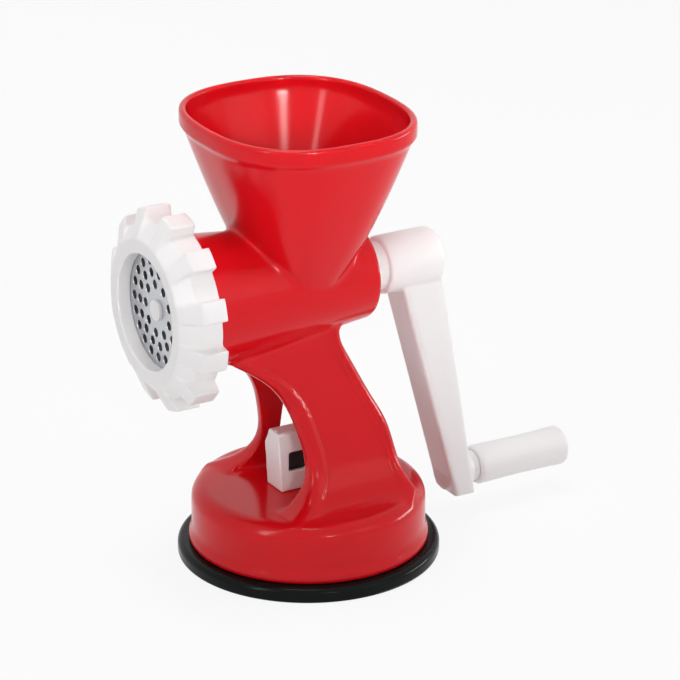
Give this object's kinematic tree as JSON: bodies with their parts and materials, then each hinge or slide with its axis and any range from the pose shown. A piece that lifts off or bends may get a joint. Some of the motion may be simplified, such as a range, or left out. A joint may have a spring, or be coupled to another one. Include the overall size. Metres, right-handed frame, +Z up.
{
  "type": "hand crank meat grinder",
  "caption": "Hand crank meat grinder with a flared rounded-square hopper, tapered barrel, lugged ring nut over a holed plate and an arched stand on a lever-worked suction foot.",
  "frame": {"origin": "centre of the suction foot's underside, on the table", "axes": "+Z up; the feed axis lies along X, with the outlet at -X and the crank at +X; +Y is the side with the lever window"},
  "size_m": [0.2551, 0.14, 0.2455],
  "materials": {
    "red_plastic": "glossy moulded red",
    "white_plastic": "satin moulded white",
    "steel": "ground and brushed",
    "rubber": "smooth black",
    "black_plastic": "matt black"
  },
  "bodies": {
    "base": {"hopper": "red_plastic", "barrel": "red_plastic", "stand": "red_plastic", "drum": "red_plastic", "suction_cup": "rubber", "plate_key": "steel", "rear_bush": "white_plastic", "shaft_seal": "rubber", "thrust_washer": "white_plastic"},
    "drive": {"auger": "white_plastic", "knife": "steel", "crank_arm": "white_plastic", "crank_screw": "steel", "crank_screw_washer": "steel", "grip_axle": "steel", "grip_collar": "white_plastic", "grip_cap": "white_plastic"},
    "grip": {"grip": "white_plastic"},
    "plate": {"cutting_plate": "steel"},
    "nut": {"ring_nut": "white_plastic"},
    "plunger": {"plunger": "black_plastic", "plunger_disc": "steel", "lever_pin": "steel"},
    "lever": {"suction_lever": "white_plastic"}
  },
  "joints": [
    {"name": "crank_turn", "type": "hinge", "parent": "base", "child": "drive", "pos_m": [0, 0, 0.153], "axis": [1, 0, 0], "continuous": true},
    {"name": "grip_spin", "type": "hinge", "parent": "drive", "child": "grip", "pos_m": [0.1316, 0, 0.0248], "axis": [1, 0, 0], "continuous": true},
    {"name": "plate_slide", "type": "slide", "parent": "base", "child": "plate", "axis": [-1, 0, 0], "range_m": [0, 0.01]},
    {"name": "nut_turn", "type": "hinge", "parent": "plate", "child": "nut", "pos_m": [-0.0845, 0, 0.153], "axis": [-1, 0, 0], "range_deg": [0, 900]},
    {"name": "plunger_lift", "type": "slide", "parent": "base", "child": "plunger", "axis": [0, 0, 1], "range_m": [0, 0.0045]},
    {"name": "lever_flip", "type": "hinge", "parent": "plunger", "child": "lever", "pos_m": [0, 0, 0.0555], "axis": [0, 1, 0], "range_deg": [0, 90]}
  ],
  "couplings": [
    {"joint": "plate_slide", "follows": "nut_turn", "m_per_rad": 0.0006366},
    {"joint": "lever_flip", "follows": "plunger_lift", "rad_per_m": 349.07}
  ]
}
